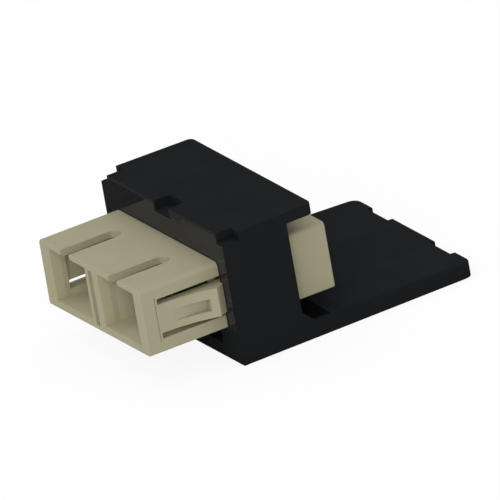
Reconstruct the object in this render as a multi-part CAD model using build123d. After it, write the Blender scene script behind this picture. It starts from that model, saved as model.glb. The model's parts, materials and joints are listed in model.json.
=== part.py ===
from build123d import *
import math
import os

os.makedirs("parts", exist_ok=True)

# Duplex SC adapter module: a beige duplex adapter snapped through a black module housing.
# Millimetres. Origin at the middle of the underside, +Y from the plug side to the lever, +Z up.

# Overall places
adapter_reach = 12.03         # adapter front face to housing front plane
lever_length = 35.85          # housing front plane to the lever's rear edge
adapter_underside = 4.69      # height of the adapter above the base

# Adapter body
adapter_width = 26.64
adapter_height = 9.4
adapter_length = 28.6
upper_edge_radius = 0.6       # long edges of the top
lower_edge_radius = 0.25      # long edges of the underside
end_edge_radius = 0.2         # edges around both end faces
port_pitch = 12.8
port_width = 9.7              # behind the mouth
port_height = 7.5
port_floor = 0.95             # wall under the ports
mouth_chamfer = 0.25
mouth_lip = 1.7               # straight land behind the mouth
mouth_step = 0.9              # length of the slope behind the land
side_relief = 0.12            # widening of the port behind the slope
key_slot_width = 2.3
key_slot_length = 8.6
divider_groove_width = 1.0
divider_groove_depth = 2.0
groove_overrun = 0.2          # groove runs past the port's floor and roof lines
partition_depth = 11.5        # face of the insert's partition behind the mouth
partition_thickness = 1.0
insert_window_width = 8.8
insert_window_height = 6.2

# Side latch arms
arm_root = 2.45               # behind the adapter front face
arm_height = 4.06             # at the root
arm_top_fall = 0.4            # how far its top edge comes down to the crest
arm_gap = 0.8                 # slots above and below the arm
arm_centre = 4.67             # height of the arm's middle above the adapter's underside
arm_bow = 1.65                # how far the arm stands out at its shoulder
arm_thickness = 0.95          # from the side plane inward
arm_bevel_length = 1.3
arm_bevel_drop = 0.8
arm_tail_gap = 0.5            # tail stops short of the adapter's middle
arm_seat_gap = 0.1            # shoulder to the housing front plane
arm_tail_inset = 0.05
arm_pocket_depth = 2.3        # free space behind the tail, from the side plane inward
arm_recess_start = 3.0
arm_recess_end = 9.6
arm_recess_floor = 0.1        # level floor, outside the side plane
arm_recess_height = 1.7
arm_recess_centre = 4.5       # height of its middle above the adapter's underside
line_place = 2.0              # thin line in the side face, ahead of the arm
line_width = 0.15
line_depth = 0.12
line_low = 1.45
line_high = 7.85

# Stop lugs under the rear half
lug_place = 6.5
lug_width = 3.0
lug_length = 1.2
lug_drop = 1.0

# Latch inserts
flange_width = 9.3
flange_height = 7.6
flange_thickness = 1.75
flange_corner_radius = 0.3
flange_clearance = 0.05
barrel_diameter = 4.4
barrel_lip = 0.6
barrel_lip_bore = 2.9
sleeve_clearance = 0.02
hook_reach = 6.3              # hook tip to the flange face
hook_thickness = 0.9
hook_place = 3.4              # inner face of the hook arm from the port's axis
hook_height = 3.6
hook_barb = 0.45
hook_barb_length = 1.1
hook_lead = 0.7

# Split alignment sleeves
sleeve_bore = 2.5
sleeve_diameter = 3.2
sleeve_length = 11.4
sleeve_slit = 0.5

# Module housing
housing_width = 32.56         # at the front plane
side_taper = 1.4              # degrees per side, narrowing rearward
housing_height = 18.6
wall_length = 9.76            # side walls, from the front plane
roof_length = 13.93
roof_lip = 1.56               # roof thickness behind the walls
roof_thickness = 2.0          # roof thickness over the front space
roof_corner_radius = 0.8
cavity_width = 27.8
cavity_floor = 1.86
cavity_depth = 6.4            # front plane to the inner frame
post_inset = 5.1              # base opening's edge from the side at the front
rim = 0.2                     # land behind the front plate's edge
side_bevel_length = 0.95
window_clearance = 0.05
lever_front_thickness = 2.75
lever_rear_thickness = 2.15
lever_corner_radius = 1.4
lever_edge_radius = 0.25      # edges round the top of the lever
lever_notch_depth = 0.83
lever_notch_inner = 5.5
lever_notch_outer = 11.1
gusset_size = 1.4
web_thickness = 0.6
web_drop = 0.3
pocket_rear = 13.9            # rear edge of the pockets behind the front plane
pocket_inner = 8.5
pocket_floor = 1.5
corner_notch_width = 1.85
centre_notch_width = 3.85
notch_depth = 2.45            # rearward
notch_drop = 1.3              # below the roof
notch_rim = 0.2               # front wall left round a notch
notch_wall = 0.3              # roof left beside a notch

# Smoked front plate, set flush in a rebate of the housing
plate_rebate = 0.4            # housing wall left round the plate
front_plate_thickness = 0.5
front_plate_clearance = 0.1

# Derived places
overall_length = adapter_reach + lever_length
y_front = -overall_length / 2
y_housing = y_front + adapter_reach
y_seat = y_housing + front_plate_thickness
y_seam = y_front + adapter_length / 2
y_adapter_rear = y_front + adapter_length
y_wall_rear = y_housing + wall_length
y_roof_rear = y_housing + roof_length
y_frame = y_housing + cavity_depth
y_lever_rear = y_housing + lever_length
y_pocket_rear = y_housing + pocket_rear
z_port_floor = adapter_underside + port_floor
z_port_roof = z_port_floor + port_height
z_adapter_top = adapter_underside + adapter_height
z_adapter_mid = adapter_underside + adapter_height / 2
z_port_mid = z_port_floor + port_height / 2
adapter_half = adapter_width / 2
sleeve_half = sleeve_length / 2


def half_width(y):
    """Half the housing's width at a place along its length."""
    return housing_width / 2 - (y - y_housing) * math.tan(math.radians(side_taper))


def across(section, y_from, y_to):
    """Run a front-view section rearward between two places."""
    plane = Plane(origin=(0, y_from, 0), x_dir=(1, 0, 0), z_dir=(0, -1, 0))
    return extrude(plane * section, amount=y_to - y_from, dir=(0, 1, 0))


def side_on(profile, x_from, x_to):
    """Run a side-view profile, drawn in Y and Z, across the part."""
    plane = Plane(origin=(x_from, 0, 0), x_dir=(0, 1, 0), z_dir=(1, 0, 0))
    return extrude(plane * profile, amount=x_to - x_from, dir=(1, 0, 0))


def upward(plan, z_from, z_to):
    """Raise a plan drawn in X and Y between two heights."""
    return extrude(Pos(0, 0, z_from) * plan, amount=z_to - z_from, dir=(0, 0, 1))


def area(*points):
    return Polygon(*points, align=None)


def window(x_from, x_to, low, high):
    return area((x_from, low), (x_to, low), (x_to, high), (x_from, high))


def both_sides(solid):
    return solid + mirror(solid, about=Plane.YZ)


def tapered_plan(y_from, y_to, corner_radius=0):
    """Plan of the housing between two places, with its rear corners rounded."""
    plan = area((-half_width(y_from), y_from), (half_width(y_from), y_from),
                (half_width(y_to), y_to), (-half_width(y_to), y_to))
    if corner_radius > 0:
        rear_corners = plan.vertices().group_by(Axis.Y)[-1]
        plan = fillet(rear_corners, corner_radius)
    return plan


def adapter_outline(grow=0.0):
    """Front view of the adapter body, its lower edges sharper than its upper ones."""
    outline = Pos(0, z_adapter_mid) * Rectangle(
        adapter_width + 2 * grow, adapter_height + 2 * grow)
    outline = fillet(outline.vertices().group_by(Axis.Y)[0], lower_edge_radius + grow)
    return fillet(outline.vertices().group_by(Axis.Y)[-1], upper_edge_radius + grow)


def roof_notches(y_rear, grow=0.0):
    """The centre notch and the two corner notches in the roof's front edge."""
    low = housing_height - notch_drop - grow
    high = housing_height + 1
    outer = housing_width / 2
    centre_half = centre_notch_width / 2 + grow
    centre = window(-centre_half, centre_half, low, high)
    corner = window(outer - corner_notch_width - grow, outer + 1, low, high)
    start = y_housing - 1
    return across(centre, start, y_rear) + both_sides(across(corner, start, y_rear))


def plate_blank():
    """The smoked plate before its openings: an arch standing on the base's two posts."""
    half = half_width(y_seat) - plate_rebate
    blank = across(window(-half, half, adapter_underside, housing_height - plate_rebate),
                   y_housing, y_seat)
    return blank - roof_notches(y_seat + 1, notch_rim)


def module_housing():
    # Lower moulding: base, lever and side walls from one side profile
    z_web = lever_front_thickness - web_drop
    z_gusset = lever_front_thickness + gusset_size
    profile = area((y_housing, 0), (y_lever_rear, 0), (y_lever_rear, lever_rear_thickness),
                   (y_pocket_rear, lever_front_thickness), (y_pocket_rear, z_web),
                   (y_wall_rear + z_gusset - z_web, z_web), (y_wall_rear, z_gusset),
                   (y_wall_rear, housing_height), (y_housing, housing_height))
    reach = housing_width
    lower = upward(tapered_plan(y_housing, y_lever_rear, lever_corner_radius), 0, housing_height)
    lower = lower & side_on(profile, -reach, reach)
    top_edges = [edge for edge in lower.edges()
                 if edge.center().Y > y_pocket_rear + 1
                 and lever_rear_thickness - 0.1 < edge.center().Z < lever_front_thickness + 0.1]
    lower = fillet(top_edges, lever_edge_radius)
    roof = upward(tapered_plan(y_housing, y_roof_rear, roof_corner_radius),
                  housing_height - roof_lip, housing_height)
    body = lower + roof

    # Front space: open to the front, closed behind by the inner frame
    half = cavity_width / 2
    post = housing_width / 2 - post_inset
    ceiling = housing_height - roof_thickness
    section = area((-post, cavity_floor), (post, cavity_floor), (post, adapter_underside),
                   (half, adapter_underside), (half, ceiling), (-half, ceiling),
                   (-half, adapter_underside), (-post, adapter_underside))
    body -= across(section, y_housing - 1, y_frame)
    body -= plate_blank()

    # Lead-in slopes under the roof and inside the walls, beside the notch pockets
    roof_bevel = roof_thickness - plate_rebate - rim
    slope = area((y_seat, ceiling), (y_seat + roof_bevel, ceiling), (y_seat, ceiling + roof_bevel))
    beside_notch = housing_width / 2 - corner_notch_width - notch_wall
    body -= both_sides(side_on(slope, centre_notch_width / 2 + notch_wall, beside_notch))
    small = roof_thickness - notch_drop - notch_wall
    lip = area((y_seat, ceiling), (y_seat + small, ceiling), (y_seat, ceiling + small))
    body -= side_on(lip, -half, half)
    rim_edge = half_width(y_seat) - plate_rebate - rim
    flare = area((half - 0.5, y_seat), (rim_edge, y_seat),
                 (half, y_seat + side_bevel_length), (half - 0.5, y_seat + side_bevel_length))
    body -= both_sides(upward(flare, adapter_underside, ceiling + small))

    # Window in the inner frame; the adapter rests on its sill
    opening = Pos(0, window_clearance) * adapter_outline(window_clearance)
    body -= across(opening, y_frame - 1, y_wall_rear + 1)

    # Behind the walls: the gusset stays only in the side webs, beside deep pockets
    web_inner = half_width(y_pocket_rear) - web_thickness
    step = area((y_wall_rear, z_web), (y_pocket_rear, z_web), (y_pocket_rear, z_gusset + 0.1),
                (y_wall_rear, z_gusset + 0.1))
    body -= side_on(step, -web_inner, web_inner)
    pocket = area((y_wall_rear, pocket_floor), (y_pocket_rear, pocket_floor),
                  (y_pocket_rear, z_gusset), (y_wall_rear, z_gusset))
    body -= both_sides(side_on(pocket, pocket_inner, web_inner))

    # Notches: roof front edge and lever rear edge
    body -= roof_notches(y_housing + notch_depth)
    notch = area((lever_notch_inner, y_lever_rear - lever_notch_depth),
                 (lever_notch_outer, y_lever_rear - lever_notch_depth),
                 (lever_notch_outer, y_lever_rear + 1), (lever_notch_inner, y_lever_rear + 1))
    body -= both_sides(upward(notch, -1, lever_front_thickness))
    return body


def smoked_front_plate():
    clear = adapter_width / 2 + front_plate_clearance
    opening = adapter_outline(front_plate_clearance)
    opening += window(-clear, clear, adapter_underside - 1, z_adapter_mid)
    return plate_blank() - across(opening, y_housing - 1, y_seat + 1)


def shell_half(y_end, y_join):
    """Half of the adapter body, from its end face to the seam, with both ports."""
    way = 1 if y_join > y_end else -1
    body = across(adapter_outline(), min(y_end, y_join), max(y_end, y_join))
    end_face = body.faces().sort_by(Axis.Y)[0 if way > 0 else -1]
    body = fillet(end_face.edges(), end_edge_radius)

    def at(depth):
        return y_end + way * depth

    for side in (-1, 1):
        middle = side * port_pitch / 2
        mouth = port_width / 2
        wide = mouth + side_relief
        plan = area((middle - mouth, at(-1)), (middle + mouth, at(-1)),
                    (middle + mouth, at(mouth_lip)), (middle + wide, at(mouth_lip + mouth_step)),
                    (middle + wide, at(partition_depth)), (middle - wide, at(partition_depth)),
                    (middle - wide, at(mouth_lip + mouth_step)), (middle - mouth, at(mouth_lip)))
        body -= upward(plan, z_port_floor, z_port_roof)

        rim_face = Plane(origin=(middle, at(0), z_port_mid), x_dir=(1, 0, 0), z_dir=(0, way, 0))
        mouth_flare = extrude(
            rim_face * Rectangle(port_width + 2 * mouth_chamfer, port_height + 2 * mouth_chamfer),
            amount=mouth_chamfer, taper=45)
        body -= mouth_flare

        slot_half = key_slot_width / 2
        slot = Pos(middle, at(key_slot_length - slot_half)) * Circle(slot_half)
        slot += area((middle - slot_half, at(-1)), (middle + slot_half, at(-1)),
                     (middle + slot_half, at(key_slot_length - slot_half)),
                     (middle - slot_half, at(key_slot_length - slot_half)))
        body -= upward(slot, z_port_mid, z_adapter_top + 1)

        inner = Pos(middle, z_port_mid) * Rectangle(insert_window_width, insert_window_height)
        body -= across(inner, min(at(partition_depth - 1), y_join),
                       max(at(partition_depth - 1), y_join))
        seat_width = flange_width + 2 * flange_clearance
        seat_height = flange_height + 2 * flange_clearance
        seat = Pos(middle, z_port_mid) * RectangleRounded(
            seat_width, seat_height, flange_corner_radius)
        y_seat_face = at(partition_depth + partition_thickness)
        body -= across(seat, min(y_seat_face, y_join), max(y_seat_face, y_join))

    groove_low = z_port_floor - groove_overrun
    groove_high = z_port_roof + groove_overrun
    groove = window(-divider_groove_width / 2, divider_groove_width / 2, groove_low, groove_high)
    body -= across(groove, min(at(-1), at(divider_groove_depth)),
                   max(at(-1), at(divider_groove_depth)))
    return body


# The arm's outer face leaves the side plane tangentially and bows out to the shoulder
arm_shoulder = adapter_reach - arm_seat_gap
arm_crest = arm_shoulder - arm_bevel_length
bow_run = arm_crest - arm_root
bow_radius = (bow_run ** 2 + arm_bow ** 2) / (2 * arm_bow)


def bow(depth):
    """Distance of the arm's outer face outside the side plane."""
    run = depth - arm_root
    return bow_radius - math.sqrt(bow_radius ** 2 - run ** 2)


def latch_arm():
    """One arm on the +X side: bowed outside, level inside, with a recess and a straight tail."""
    def spot(depth, out):
        return (adapter_half + out, y_front + depth)

    tail_end = adapter_length / 2 - arm_tail_gap
    outer = ThreePointArc(spot(arm_root, 0), spot((arm_root + arm_crest) / 2,
                          bow((arm_root + arm_crest) / 2)), spot(arm_crest, arm_bow))
    shoulder = Polyline(spot(arm_crest, arm_bow),
                        spot(arm_shoulder, arm_bow - arm_bevel_drop),
                        spot(arm_shoulder, -arm_tail_inset),
                        spot(tail_end, -arm_tail_inset),
                        spot(tail_end, -arm_thickness), spot(arm_root - 0.3, -arm_thickness),
                        spot(arm_root - 0.3, 0), spot(arm_root, 0))
    blade = make_face([outer, shoulder])
    low = adapter_underside + arm_centre - arm_height / 2
    arm = upward(blade, low, low + arm_height)
    top = low + arm_height
    fall = area((y_front + arm_root, top), (y_front + arm_crest, top - arm_top_fall),
                (y_seam, top - arm_top_fall), (y_seam, top + 1), (y_front + arm_root, top + 1))
    arm -= side_on(fall, adapter_half - 2 * arm_thickness, adapter_half + 2 * arm_bow)

    recess = area(spot(arm_recess_start, arm_recess_floor), spot(arm_recess_end, arm_recess_floor),
                  spot(arm_recess_end, arm_bow + 1), spot(arm_recess_start, arm_bow + 1))
    mid = adapter_underside + arm_recess_centre
    return arm - upward(recess, mid - arm_recess_height / 2, mid + arm_recess_height / 2)


def adapter_front_shell():
    body = shell_half(y_front, y_seam)
    mid = adapter_underside + arm_centre
    reach = arm_height / 2 + arm_gap
    space = area((adapter_half - arm_pocket_depth, y_front + arm_root),
                 (adapter_half + 1, y_front + arm_root), (adapter_half + 1, y_seam),
                 (adapter_half - arm_pocket_depth, y_seam))
    body -= both_sides(upward(space, mid - reach, mid + reach))
    line = area((adapter_half - line_depth, y_front + line_place),
                (adapter_half + 1, y_front + line_place),
                (adapter_half + 1, y_front + line_place + line_width),
                (adapter_half - line_depth, y_front + line_place + line_width))
    body -= both_sides(upward(line, adapter_underside + line_low, adapter_underside + line_high))
    return body + both_sides(latch_arm())


def adapter_rear_shell():
    body = shell_half(y_adapter_rear, y_seam)
    lug = area((lug_place - lug_width / 2, y_wall_rear), (lug_place + lug_width / 2, y_wall_rear),
               (lug_place + lug_width / 2, y_wall_rear + lug_length),
               (lug_place - lug_width / 2, y_wall_rear + lug_length))
    return body + both_sides(upward(lug, adapter_underside - lug_drop, adapter_underside + port_floor))


def latch_insert(side):
    """Front insert of one port: flange, barrel for half the sleeve, two latch hooks."""
    middle = side * port_pitch / 2
    y_flange = y_front + partition_depth + partition_thickness
    flange = across(Pos(middle, z_port_mid) * RectangleRounded(
        flange_width, flange_height, flange_corner_radius), y_flange, y_seam)
    y_barrel = y_seam - sleeve_half - barrel_lip
    barrel = across(Pos(middle, z_port_mid) * Circle(barrel_diameter / 2), y_barrel, y_seam)
    body = flange + barrel
    y_tip = y_flange - hook_reach
    inside = hook_place
    outside = hook_place + hook_thickness
    hook = area((middle + outside, y_flange + 0.2), (middle + outside, y_tip),
                (middle + inside + 0.2, y_tip), (middle + inside - hook_barb, y_tip + hook_lead),
                (middle + inside - hook_barb, y_tip + hook_barb_length),
                (middle + inside, y_tip + hook_barb_length), (middle + inside, y_flange + 0.2))
    right = upward(hook, z_port_mid - hook_height / 2, z_port_mid + hook_height / 2)
    left = mirror(right, about=Plane.YZ.offset(middle))
    body = body + right + left
    bore = Pos(middle, z_port_mid) * Circle(sleeve_diameter / 2 + sleeve_clearance)
    body -= across(bore, y_seam - sleeve_half, y_seam + 1)
    body -= across(Pos(middle, z_port_mid) * Circle(barrel_lip_bore / 2), y_barrel - 1, y_seam)
    return body


def rear_insert(side):
    return mirror(latch_insert(side), about=Plane.XZ.offset(-y_seam))


def split_sleeve(side):
    middle = side * port_pitch / 2
    ring = Circle(sleeve_diameter / 2) - Circle(sleeve_bore / 2)
    slit = Pos(0, sleeve_diameter / 2) * Rectangle(sleeve_slit, sleeve_diameter)
    section = Pos(middle, z_port_mid) * (ring - slit)
    return across(section, y_seam - sleeve_half, y_seam + sleeve_half)


parts = {
    "module_housing": module_housing(),
    "smoked_front_plate": smoked_front_plate(),
    "adapter_front_shell": adapter_front_shell(),
    "adapter_rear_shell": adapter_rear_shell(),
    "front_insert_left": latch_insert(-1),
    "front_insert_right": latch_insert(1),
    "rear_insert_left": rear_insert(-1),
    "rear_insert_right": rear_insert(1),
    "split_sleeve_left": split_sleeve(-1),
    "split_sleeve_right": split_sleeve(1),
}

for name, shape in parts.items():
    export_step(shape, f"parts/{name}.step")
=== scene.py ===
import json
import math

import bpy
from bpy.props import FloatProperty, FloatVectorProperty, PointerProperty
from mathutils import Matrix, Vector

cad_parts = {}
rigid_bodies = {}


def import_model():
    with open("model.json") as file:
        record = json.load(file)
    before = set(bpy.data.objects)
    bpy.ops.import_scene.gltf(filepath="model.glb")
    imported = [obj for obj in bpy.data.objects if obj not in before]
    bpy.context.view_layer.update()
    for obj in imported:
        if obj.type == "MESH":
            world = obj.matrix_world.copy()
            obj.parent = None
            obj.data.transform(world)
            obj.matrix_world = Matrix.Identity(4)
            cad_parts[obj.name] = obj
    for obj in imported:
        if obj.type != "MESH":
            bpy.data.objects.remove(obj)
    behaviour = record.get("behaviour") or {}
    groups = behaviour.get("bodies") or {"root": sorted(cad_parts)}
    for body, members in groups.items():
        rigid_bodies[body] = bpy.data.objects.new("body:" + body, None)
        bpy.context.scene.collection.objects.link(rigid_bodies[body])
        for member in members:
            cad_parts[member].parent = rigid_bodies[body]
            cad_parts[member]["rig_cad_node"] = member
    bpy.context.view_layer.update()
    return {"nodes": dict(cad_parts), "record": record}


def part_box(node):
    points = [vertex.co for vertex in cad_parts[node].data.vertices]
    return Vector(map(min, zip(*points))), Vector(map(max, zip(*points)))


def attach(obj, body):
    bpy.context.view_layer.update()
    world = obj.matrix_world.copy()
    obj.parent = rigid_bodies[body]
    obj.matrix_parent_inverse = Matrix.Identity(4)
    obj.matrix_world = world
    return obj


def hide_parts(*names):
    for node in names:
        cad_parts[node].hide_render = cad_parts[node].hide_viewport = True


bl_info = {
    "name": "SC Adapter Module Finishes",
    "version": (1, 0, 0),
    "blender": (4, 5, 0),
    "location": "View3D > Sidebar > Adapter Module",
    "description": "Moulded plastic finishes and a plain studio for a duplex SC fibre adapter module",
    "category": "Material",
}

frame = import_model()

WHITE = (1, 1, 1, 1)

# The stretch of a noise's values that is spread over the whole range, for clouds and for grain
CLOUD_RANGE = (0.3, 0.7)
GRAIN_RANGE = (0.35, 0.65)


def colour_property(name, description, default):
    return FloatVectorProperty(name=name, description=description, default=default,
                               subtype="COLOR", size=3, min=0, max=1)


def length_property(name, description, default):
    return FloatProperty(name=name, description=description, default=default, min=0,
                         unit="LENGTH")


def share_property(name, description, default, most=1):
    return FloatProperty(name=name, description=description, default=default, min=0, max=most,
                         subtype="FACTOR")


def angle_property(name, description, degrees):
    return FloatProperty(name=name, description=description, default=math.radians(degrees),
                         subtype="ANGLE")


def strength_property(name, description, default):
    return FloatProperty(name=name, description=description, default=default, min=0)


class ModulePlastics(bpy.types.PropertyGroup):
    """Colours and surface grain of the moulded pieces, and the painted light and shade on them."""
    housing_colour: colour_property(
        "Housing", "Black of the housing and its release lever", (0.0109, 0.0121, 0.0130))
    # Painted highlight: the roof's front edge is painted paler than the black housing.
    rim_painted_highlight: colour_property(
        "Roof rim", "Paler black of the roof's front edge, where it catches light",
        (0.0245, 0.0245, 0.0225))
    # Painted light: the black cheeks of the middle notch are painted pale beige.
    cheek_painted_light: colour_property(
        "Notch cheeks", "Pale cheeks of the middle notch behind the smoked plate",
        (0.17, 0.155, 0.10))
    adapter_colour: colour_property(
        "Adapter", "Beige of both halves of the adapter body", (0.335, 0.310, 0.206))
    # Painted light: the adapter's walls inside the ports are painted lighter.
    port_painted_light: share_property(
        "Port glow", "How much lighter the thin walls look inside the ports", 0.25)
    # Painted light: the adapter's top is painted lighter deep under the roof.
    roofed_painted_light: share_property(
        "Roofed glow", "How much lighter the adapter's top looks deep under the roof", 2.0,
        most=2)
    # Painted shade: the inserts are painted dark brown, darker than the shell, for shade seen through
    # the key slots.
    insert_painted_shade_colour: colour_property(
        "Inserts", "Dark brown of the latch inserts inside the ports", (0.045, 0.036, 0.014))
    sleeve_colour: colour_property(
        "Sleeves", "White of the ceramic alignment sleeves", (0.82, 0.81, 0.78))
    plate_colour: colour_property(
        "Front plate", "Tint of the smoked front plate", (0.0250, 0.0250, 0.0285))
    plate_density: share_property(
        "Plate density", "How much the smoked plate holds back", 0.652)
    plate_slack: share_property(
        "Plate slack", "How much smaller than its seat the plate is, across and up", 0.002,
        most=0.01)
    plate_thinning: share_property(
        "Plate thinning", "How much thinner than its seat the plate is", 0.04, most=0.2)
    grain_size: length_property(
        "Mould grain", "Width of the fine grain left by the mould", 0.00028)
    flow_size: length_property(
        "Flow marks", "Width of the faint clouding in the plastic", 0.0065)


class ModuleRoof(bpy.types.PropertyGroup):
    """Sizes of the roof's front edge, for the painted highlight and painted light there."""
    notch_floor: length_property(
        "Notch floor", "Height of the floor of the notches", 0.0173)
    notch_cheek: length_property(
        "Notch cheek", "From the middle to the outer face of the notch's cheek", 0.002225)
    notch_depth: length_property(
        "Notch depth", "How far the notches go in from the front", 0.00245)
    corner_notch: length_property(
        "Corner notch", "Width of the notches at the corners", 0.00185)


class ModuleArms(bpy.types.PropertyGroup):
    """Sizes of the level tops of the side latch arms, from the port side's front face."""
    root: length_property(
        "Root", "Where the arm leaves the side of the adapter", 0.00245)
    crest: length_property(
        "Crest", "Where the arm stands out furthest", 0.01063)
    shoulder: length_property(
        "Shoulder", "Where the slanted end meets the housing", 0.01193)
    shoulder_drop: length_property(
        "Shoulder drop", "How far the slanted end comes in", 0.0008)
    tail_end: length_property(
        "Tail end", "Where the tail inside the housing ends", 0.0138)
    tail_inset: length_property(
        "Tail inset", "From the side plane in to the tail", 0.00005)
    thickness: length_property(
        "Thickness", "From the side plane in to the level inner face", 0.00095)
    height: length_property(
        "Height", "From the adapter's underside up to the level top", 0.0067)
    fall: length_property(
        "Fall", "How far the moulded arm lies below its level top at the crest", 0.0004)


class ModuleStudio(bpy.types.PropertyGroup):
    """Camera and light of the studio."""
    azimuth: angle_property(
        "Azimuth", "Direction of the camera round the module, from the port side", 63.9)
    elevation: angle_property(
        "Elevation", "Height of the camera above the floor, as an angle", 22.84)
    roll: angle_property(
        "Roll", "Turn of the camera about its line of sight", -10.1)
    distance: length_property(
        "Distance", "From the middle of the view back to the camera", 0.35)
    view_width: length_property(
        "View width", "Width of the parallel view", 0.06571)
    look_at: FloatVectorProperty(
        name="Look at", description="Point in the middle of the view",
        default=(-0.002569, 0.001043, 0.006632), size=3, subtype="TRANSLATION")
    floor_colour: colour_property(
        "Floor", "Colour of the pale floor", (0.93, 0.93, 0.93))
    floor_size: length_property(
        "Floor size", "Side of the square floor", 3.0)
    floor_gap: length_property(
        "Floor gap", "How far the floor lies below the module", 0.00002)
    floor_whiteness: share_property(
        "Floor whiteness", "How far the camera sees the floor as plain white", 0.9)
    room_light: strength_property(
        "Room light", "Level of the even light from all round", 0.44)
    side_light: strength_property(
        "Side light", "Strength of the light on the right side and into the ports", 1.05)
    front_light: strength_property(
        "Front light", "Strength of the light on the port side, from above", 0.70)
    top_light: strength_property(
        "Top light", "Strength of the soft light from above", 0.91)


class Value:
    """A socket's output that takes part in sums, written as plain arithmetic."""

    def __init__(self, graph, socket):
        self.graph = graph
        self.socket = socket

    def combine(self, operation, *others):
        return self.graph.node("ShaderNodeMath", {"operation": operation}, [self, *others])

    def __add__(self, other):
        return self.combine("ADD", other)

    __radd__ = __add__

    def __sub__(self, other):
        return self.combine("SUBTRACT", other)

    def __rsub__(self, other):
        return self.graph.node("ShaderNodeMath", {"operation": "SUBTRACT"}, [other, self])

    def __mul__(self, other):
        return self.combine("MULTIPLY", other)

    __rmul__ = __mul__

    def __abs__(self):
        return self.combine("ABSOLUTE")


class Finish:
    """A material under construction: its nodes, its shader and its surface coordinates."""

    def __init__(self, name):
        self.material = bpy.data.materials.new(name)
        self.material.use_nodes = True
        self.nodes = self.material.node_tree.nodes
        self.links = self.material.node_tree.links
        self.shader = next(n for n in self.nodes if n.type == "BSDF_PRINCIPLED")
        self.output = next(n for n in self.nodes if n.type == "OUTPUT_MATERIAL")

    def node(self, kind, settings=None, values=None, out=0):
        """Add a node, first its settings and then what its sockets take."""
        made = self.nodes.new(kind)
        for key, value in (settings or {}).items():
            setattr(made, key, value)
        pairs = values.items() if isinstance(values, dict) else enumerate(values or [])
        for key, value in pairs:
            self.feed(made.inputs[key], value)
        return Value(self, made.outputs[out])

    def feed(self, socket, value):
        if isinstance(value, Value):
            self.links.new(value.socket, socket)
        else:
            socket.default_value = value

    def surface(self, **values):
        """Set or link the shader's sockets, named with underscores for spaces."""
        for key, value in values.items():
            self.feed(self.shader.inputs[key.replace("_", " ")], value)

    def place(self):
        """The object's own coordinates."""
        return self.node("ShaderNodeTexCoord", out=3)

    def axes(self):
        """Across, along and up, as values in metres."""
        split = self.nodes.new("ShaderNodeSeparateXYZ")
        self.feed(split.inputs[0], self.place())
        return [Value(self, output) for output in split.outputs]

    def noise(self, width, detail=2.0, roughness=0.5):
        return self.node("ShaderNodeTexNoise", None,
                         {"Vector": self.place(), "Scale": 1.0 / width, "Detail": detail,
                          "Roughness": roughness})

    def spread(self, value, low, high, start=0.0, end=1.0):
        """Carry a value from one range to another, held at both ends."""
        return self.node("ShaderNodeMapRange", {"clamp": True},
                         {"Value": value, "From Min": low, "From Max": high,
                          "To Min": start, "To Max": end})

    def band(self, value, low, high, margin):
        """1 from low to high, and 0 from a margin beyond them."""
        away = abs(value - (low + high) / 2)
        reach = (high - low) / 2
        return self.spread(away, reach, reach + margin, 1.0, 0.0)

    def blend(self, factor, first, second):
        mix = self.nodes.new("ShaderNodeMix")
        mix.data_type = "RGBA"
        colours_in, colour_out = (6, 7), 2
        self.feed(mix.inputs[0], factor)
        for socket, value in zip(colours_in, (first, second)):
            self.feed(mix.inputs[socket], value)
        return Value(self, mix.outputs[colour_out])

    def scaled(self, vector, factor):
        return self.node("ShaderNodeVectorMath", {"operation": "SCALE"},
                         {"Vector": vector, "Scale": factor})

    def bump(self, height, distance, strength):
        return self.node("ShaderNodeBump", None,
                         {"Height": height, "Distance": distance, "Strength": strength})


def tone(colour, level=1):
    """A colour made lighter or darker, with full opacity."""
    return tuple(min(1.0, c * level) for c in colour) + (1.0,)


def inside_ports(finish):
    """1 on the walls inside both pairs of ports, out to the latch arms, and 0 elsewhere: where the
    adapter is painted lighter, as painted light.
    """
    front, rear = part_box("adapter_front_shell"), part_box("adapter_rear_shell")
    port = frame["record"]["physics"]["openings"][1]["box_m"]
    margin = 0.0001
    lip = 0.0003
    outer = rear[1][0] - bpy.context.scene.module_arms.thickness
    inner = port[0][0] + port[1][0] - outer
    across, along, up = finish.axes()
    return (finish.band(abs(across), inner, outer, margin)
            * finish.band(along, front[0][1] + lip, rear[1][1] - lip, margin)
            * finish.band(up, port[0][2] - margin, port[1][2] + margin, margin))


def under_roof(finish):
    """Mask of painted light on the adapter's top, growing from 0 at the front plate to 1 deep under
    the roof.
    """
    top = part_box("adapter_rear_shell")[1][2]
    lead = 0.00025
    growth = 0.0041
    fade = 0.001
    skin = 0.0001
    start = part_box("smoked_front_plate")[1][1] - lead
    end = start + growth + fade
    along, up = finish.axes()[1:]
    deep = finish.spread(along, start, start + growth)
    return (deep * deep * finish.spread(along, end, end + fade, 1.0, 0.0)
            * finish.spread(up, top - 2 * skin, top - skin))


def roof_rim(finish):
    """1 on the front face of the roof between the corner notches, and 0 elsewhere: where a highlight
    is painted.
    """
    roof = bpy.context.scene.module_roof
    low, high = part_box("module_housing")
    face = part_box("smoked_front_plate")[0][1]
    reach = high[0] - roof.corner_notch
    margin = 0.00003
    across, along, up = finish.axes()
    return (finish.band(across, -reach, reach, margin)
            * finish.band(along, low[1], face, margin)
            * finish.band(up, roof.notch_floor, high[2], margin))


def notch_cheeks(finish):
    """1 on the outer faces of the middle notch's cheeks, behind the front plate: where pale painted
    light goes.
    """
    roof = bpy.context.scene.module_roof
    low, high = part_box("smoked_front_plate")
    margin = 0.00005
    rim_step = 0.00015
    under_floor = 0.001
    past_back = 1.2
    back = low[1] + past_back * roof.notch_depth
    across, along, up = finish.axes()
    return (finish.band(abs(across), roof.notch_cheek - rim_step, roof.notch_cheek + margin,
                        margin)
            * finish.band(along, low[1] + margin, back, margin)
            * finish.band(up, roof.notch_floor - under_floor, high[2] + margin, margin))


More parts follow.
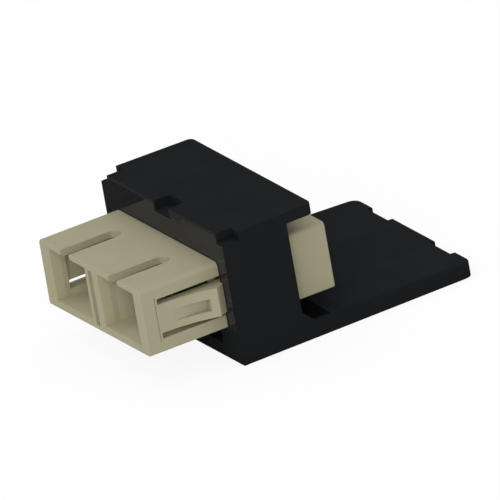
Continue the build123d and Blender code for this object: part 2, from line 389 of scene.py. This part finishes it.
def moulded_plastic(name, colour, plastics, rough, specular, cloud, grain_depth, painted_light_gains=(),
                    painted_light_tints=()):
    """Moulded plastic: faint clouding in its colour, fine grain and uneven dullness.

    Each entry of the first list is painted light: a mask and how much lighter the plastic is painted
    there. Each entry of the second list is painted light too: a mask and the colour painted there.
    """
    finish = Finish(name)
    cloud_share = 0.8
    speck_share = 0.2
    cloud_dullness = 0.08
    speck_dullness = 0.05
    clouds = finish.noise(plastics.flow_size, detail=3.0, roughness=0.55)
    shade = finish.spread(clouds, *CLOUD_RANGE)
    grain = finish.noise(plastics.grain_size, detail=2.0, roughness=0.6)
    specks = finish.spread(grain, *GRAIN_RANGE)
    body = finish.blend(shade * cloud_share + specks * speck_share, tone(colour, 1 - cloud),
                        tone(colour, 1 + cloud))
    # Painted light: lighten the plastic under each mask, then paint the tints under theirs.
    for mask, gain in painted_light_gains:
        body = finish.scaled(body, mask(finish) * gain + 1.0)
    for mask, tint in painted_light_tints:
        body = finish.blend(mask(finish), body, tone(tint))
    finish.surface(Base_Color=body,
                   Roughness=rough + cloud_dullness * (1 - shade) + speck_dullness * specks,
                   Normal=finish.bump(grain, grain_depth, strength=0.35),
                   Specular_IOR_Level=specular)
    return finish


def dress(nodes, material):
    """Give CAD nodes their material."""
    for name in nodes:
        piece = frame["nodes"][name]
        piece.data.materials.clear()
        piece.data.materials.append(material)


class MODULE_OT_housing(bpy.types.Operator):
    """Finish the black housing and its release lever, with a painted highlight on the roof rim and
    painted light on the notch cheeks
    """
    bl_idname = "module.housing_finish"
    bl_label = "Housing"

    def execute(self, context):
        plastics = context.scene.module_plastics
        # The roof rim gets a painted highlight, and the notch cheeks get pale painted light.
        finish = moulded_plastic("black_housing", plastics.housing_colour, plastics,
                                 rough=0.62, specular=0.008, cloud=0.05, grain_depth=0.00001,
                                 painted_light_tints=((roof_rim, plastics.rim_painted_highlight),
                                        (notch_cheeks, plastics.cheek_painted_light)))
        dress(["module_housing"], finish.material)
        return {"FINISHED"}


class MODULE_OT_front_plate(bpy.types.Operator):
    """Finish the smoked see-through front plate and seat it loosely"""
    bl_idname = "module.front_plate_finish"
    bl_label = "Smoked front plate"

    def execute(self, context):
        plastics = context.scene.module_plastics
        finish = Finish("smoked_plate")
        least_haze, most_haze = 0.42, 0.5
        haze = finish.spread(finish.noise(plastics.flow_size), *CLOUD_RANGE, least_haze,
                             most_haze)
        finish.surface(Base_Color=tone(plastics.plate_colour), Roughness=haze,
                       Specular_IOR_Level=0.0,
                       Alpha=self.front_half(finish) * plastics.plate_density)
        dress(["smoked_front_plate"], finish.material)
        pane = self.loose_pane(plastics)
        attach(pane, "root")
        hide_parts("smoked_front_plate")
        return {"FINISHED"}

    def front_half(self, finish):
        """1 on the front half of the plate, whose smoke lies there, and 0 where it is seated."""
        low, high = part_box("smoked_front_plate")
        middle = (low[1] + high[1]) / 2
        margin = (high[1] - low[1]) / 20
        return finish.spread(finish.axes()[1], middle - margin, middle + margin, 1.0, 0.0)

    def loose_pane(self, plastics):
        """The plate a hair smaller, flush in front, so that no face of it lies on the housing."""
        low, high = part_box("smoked_front_plate")
        node = frame["nodes"]["smoked_front_plate"]
        across = 1 - plastics.plate_slack
        bpy.ops.object.select_all(action="DESELECT")
        node.select_set(True)
        bpy.context.view_layer.objects.active = node
        bpy.ops.object.duplicate()
        pane = bpy.context.active_object
        pane.name = "smoked_pane"
        del pane["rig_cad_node"]
        bpy.ops.object.mode_set(mode="EDIT")
        bpy.ops.mesh.select_all(action="SELECT")
        bpy.ops.mesh.remove_doubles(threshold=1e-7)
        bpy.ops.transform.resize(value=(across, 1 - plastics.plate_thinning, across),
                                 center_override=(0, low[1], (low[2] + high[2]) / 2))
        bpy.ops.object.mode_set(mode="OBJECT")
        return pane


class MODULE_OT_adapter(bpy.types.Operator):
    """Finish both halves of the beige adapter body, painted lighter inside the ports and under the
    roof as painted light
    """
    bl_idname = "module.adapter_finish"
    bl_label = "Adapter body"

    def execute(self, context):
        plastics = context.scene.module_plastics
        # The adapter is painted lighter inside the ports and deep under the roof, as painted light.
        finish = moulded_plastic("beige_shell", plastics.adapter_colour, plastics,
                                 rough=0.55, specular=0.15, cloud=0.02, grain_depth=0.00001,
                                 painted_light_gains=((inside_ports, plastics.port_painted_light),
                                        (under_roof, plastics.roofed_painted_light)))
        dress(["adapter_front_shell", "adapter_rear_shell"], finish.material)
        return {"FINISHED"}


class MODULE_OT_arm_tops(bpy.types.Operator):
    """Build up the tops of the side latch arms until they are level, as one piece for both"""
    bl_idname = "module.arm_tops"
    bl_label = "Latch arm tops"

    def execute(self, context):
        arms = context.scene.module_arms
        front_low, front_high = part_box("adapter_front_shell")
        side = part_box("adapter_rear_shell")[1][0]
        face, crest_out = front_low[1], front_high[0]
        root, crest = face + arms.root, face + arms.crest
        top = front_low[2] + arms.height
        bow, run = crest_out - side, crest - root
        radius = (run ** 2 + bow ** 2) / (2 * bow)
        drum_depth = 4 * arms.fall

        piece = self.block((side - arms.thickness, root, top - arms.fall),
                           (crest_out, face + arms.tail_end, top))
        self.cut(piece, self.drum(radius, drum_depth, (side + radius, root, top)))
        self.cut(piece, self.block((side - arms.tail_inset, face + arms.shoulder, top - bow),
                                   (crest_out + bow, face + arms.tail_end + bow, top + bow)))
        self.slice(piece, (crest_out, crest, top),
                   (arms.shoulder - arms.crest, arms.shoulder_drop, 0))
        self.slice(piece, (side, root, top), (0, -arms.fall, -run))

        mirror = piece.modifiers.new("both_sides", "MIRROR")
        mirror.use_mirror_merge = False
        bpy.ops.object.modifier_apply(modifier=mirror.name)
        piece.name = "latch_arm_tops"
        shell = frame["nodes"]["adapter_front_shell"]
        piece.data.materials.append(shell.data.materials[0])
        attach(piece, "root")
        return {"FINISHED"}

    def block(self, low, high):
        middle = [(a + b) / 2 for a, b in zip(low, high)]
        size = [b - a for a, b in zip(low, high)]
        bpy.ops.object.select_all(action="DESELECT")
        bpy.ops.mesh.primitive_cube_add(size=1, location=middle, scale=size)
        bpy.ops.object.transform_apply(location=True, rotation=True, scale=True)
        return bpy.context.active_object

    def drum(self, radius, depth, middle):
        """A cylinder whose side is as smooth as the arm's bow."""
        bpy.ops.object.select_all(action="DESELECT")
        bpy.ops.mesh.primitive_cylinder_add(vertices=360, radius=radius, depth=depth,
                                            location=middle)
        bpy.ops.object.transform_apply(location=True, rotation=True, scale=True)
        return bpy.context.active_object

    def cut(self, piece, cutter):
        """Take the cutter out of the piece, and the cutter away."""
        bpy.ops.object.select_all(action="DESELECT")
        piece.select_set(True)
        bpy.context.view_layer.objects.active = piece
        difference = piece.modifiers.new("cut", "BOOLEAN")
        difference.operation = "DIFFERENCE"
        difference.solver = "EXACT"
        difference.object = cutter
        bpy.ops.object.modifier_apply(modifier=difference.name)
        bpy.data.objects.remove(cutter)

    def slice(self, piece, point, normal):
        """Take off what lies beyond a plane, on the side that its normal points to."""
        bpy.ops.object.mode_set(mode="EDIT")
        bpy.ops.mesh.select_all(action="SELECT")
        bpy.ops.mesh.bisect(plane_co=point, plane_no=Vector(normal).normalized(),
                            use_fill=True, clear_outer=True, threshold=1e-7)
        bpy.ops.object.mode_set(mode="OBJECT")


class MODULE_OT_inserts(bpy.types.Operator):
    """Finish the four latch inserts inside the ports, in a dark brown that is painted shade"""
    bl_idname = "module.insert_finish"
    bl_label = "Latch inserts"

    def execute(self, context):
        plastics = context.scene.module_plastics
        # The inserts' dark brown is painted shade inside the ports.
        finish = moulded_plastic("beige_insert", plastics.insert_painted_shade_colour, plastics,
                                 rough=0.48, specular=0.15, cloud=0.04, grain_depth=0.000006)
        dress(["front_insert_left", "front_insert_right", "rear_insert_left",
               "rear_insert_right"], finish.material)
        return {"FINISHED"}


class MODULE_OT_sleeves(bpy.types.Operator):
    """Finish the white ceramic sleeves"""
    bl_idname = "module.sleeve_finish"
    bl_label = "Split sleeves"

    def execute(self, context):
        plastics = context.scene.module_plastics
        finish = Finish("white_ceramic")
        ground = finish.noise(width=0.0009)
        body = finish.blend(ground, tone(plastics.sleeve_colour, 0.97),
                            tone(plastics.sleeve_colour, 1.02))
        polish, unevenness = 0.16, 0.1
        finish.surface(Base_Color=body, Roughness=polish + unevenness * ground,
                       Specular_IOR_Level=0.6)
        dress(["split_sleeve_left", "split_sleeve_right"], finish.material)
        return {"FINISHED"}


class MODULE_OT_stage(bpy.types.Operator):
    """Lay the pale floor and set the room light, the three soft lights and the camera"""
    bl_idname = "module.stage"
    bl_label = "Floor, light and camera"

    def execute(self, context):
        studio = context.scene.module_studio
        self.lay_floor(studio)
        self.light_room(context.scene, studio)
        self.add_soft_light("side_light", studio.side_light, toward=(0.80, -0.45, 0.39), width=25)
        self.add_soft_light("front_light", studio.front_light, toward=(0.30, -0.72, 0.62), width=40)
        self.add_soft_light("top_light", studio.top_light, toward=(-0.30, -0.05, 0.95), width=60)
        self.set_camera(context.scene, studio)
        return {"FINISHED"}

    def lay_floor(self, studio):
        """A pale floor that takes shadows and that the camera sees as nearly white."""
        bpy.ops.object.select_all(action="DESELECT")
        bpy.ops.mesh.primitive_plane_add(size=studio.floor_size,
                                         location=(0, 0, -studio.floor_gap))
        floor = bpy.context.active_object
        floor.name = "studio_floor"
        bpy.ops.object.transform_apply(location=True, rotation=True, scale=True)
        finish = Finish("pale_floor")
        finish.surface(Base_Color=tone(studio.floor_colour), Roughness=0.9,
                       Specular_IOR_Level=0.0)
        glow = finish.node("ShaderNodeEmission", None, {"Color": WHITE, "Strength": 1.0})
        camera_ray = finish.node("ShaderNodeLightPath")
        mixed = finish.nodes.new("ShaderNodeMixShader")
        finish.feed(mixed.inputs[0], camera_ray * studio.floor_whiteness)
        finish.links.new(finish.shader.outputs[0], mixed.inputs[1])
        finish.feed(mixed.inputs[2], glow)
        finish.links.new(mixed.outputs[0], finish.output.inputs["Surface"])
        floor.data.materials.append(finish.material)

    def light_room(self, scene, studio):
        """Even light from all round, and white where the camera looks or a surface mirrors."""
        world = bpy.data.worlds.new("even_room")
        scene.world = world
        world.use_nodes = True
        nodes = world.node_tree.nodes
        links = world.node_tree.links
        room = next(n for n in nodes if n.type == "BACKGROUND")
        output = next(n for n in nodes if n.type == "OUTPUT_WORLD")
        white = nodes.new("ShaderNodeBackground")
        for background, level in ((room, studio.room_light), (white, 1.0)):
            background.inputs["Color"].default_value = WHITE
            background.inputs["Strength"].default_value = level
        path = nodes.new("ShaderNodeLightPath")
        seen = path.outputs["Is Camera Ray"]
        for ray in ("Is Glossy Ray", "Is Transmission Ray"):
            either = nodes.new("ShaderNodeMath")
            either.operation = "MAXIMUM"
            links.new(seen, either.inputs[0])
            links.new(path.outputs[ray], either.inputs[1])
            seen = either.outputs[0]
        mixed = nodes.new("ShaderNodeMixShader")
        links.new(seen, mixed.inputs[0])
        links.new(room.outputs[0], mixed.inputs[1])
        links.new(white.outputs[0], mixed.inputs[2])
        links.new(mixed.outputs[0], output.inputs["Surface"])

    def add_soft_light(self, name, level, toward, width):
        """A light from far off, in the direction given, as wide as the angle in degrees."""
        direction = Vector(toward).normalized()
        marker_distance = 0.4
        bpy.ops.object.light_add(type="SUN", location=direction * marker_distance)
        light = bpy.context.active_object
        light.name = name
        light.data.energy = level
        light.data.angle = math.radians(width)
        light.rotation_euler = direction.to_track_quat("Z", "Y").to_euler()

    def set_camera(self, scene, studio):
        """A parallel view along the photo's line of sight."""
        bpy.ops.object.camera_add()
        camera = bpy.context.active_object
        camera.name = "photo_camera"
        turn = (Matrix.Rotation(studio.azimuth, 4, "Z")
                @ Matrix.Rotation(math.pi / 2 - studio.elevation, 4, "X")
                @ Matrix.Rotation(studio.roll, 4, "Z"))
        back = turn @ Vector((0, 0, studio.distance))
        camera.matrix_world = Matrix.Translation(Vector(studio.look_at) + back) @ turn
        camera.data.type = "ORTHO"
        camera.data.ortho_scale = studio.view_width
        camera.data.clip_start = 0.01
        camera.data.clip_end = 10
        scene.camera = camera


class MODULE_PT_panel(bpy.types.Panel):
    """Finishes and studio of the adapter module"""
    bl_label = "Adapter Module"
    bl_idname = "MODULE_PT_panel"
    bl_space_type = "VIEW_3D"
    bl_region_type = "UI"
    bl_category = "Adapter Module"

    def draw(self, context):
        layout = self.layout
        for operator in OPERATORS:
            layout.operator(operator.bl_idname)
        for name in SETTINGS:
            group = getattr(context.scene, name)
            box = layout.box()
            for key in group.__annotations__:
                box.prop(group, key)


OPERATORS = (MODULE_OT_housing, MODULE_OT_front_plate, MODULE_OT_adapter, MODULE_OT_arm_tops,
             MODULE_OT_inserts, MODULE_OT_sleeves, MODULE_OT_stage)
SETTINGS = {"module_plastics": ModulePlastics, "module_roof": ModuleRoof,
            "module_arms": ModuleArms, "module_studio": ModuleStudio}
CLASSES = (*SETTINGS.values(), *OPERATORS, MODULE_PT_panel)


def register():
    for item in CLASSES:
        bpy.utils.register_class(item)
    for name, group in SETTINGS.items():
        setattr(bpy.types.Scene, name, PointerProperty(type=group))


def unregister():
    for name in SETTINGS:
        delattr(bpy.types.Scene, name)
    for item in reversed(CLASSES):
        bpy.utils.unregister_class(item)


def main():
    register()
    bpy.context.scene.view_settings.view_transform = "Standard"
    bpy.ops.module.housing_finish()
    bpy.ops.module.front_plate_finish()
    bpy.ops.module.adapter_finish()
    bpy.ops.module.arm_tops()
    bpy.ops.module.insert_finish()
    bpy.ops.module.sleeve_finish()
    bpy.ops.module.stage()


if __name__ == "__main__":
    main()
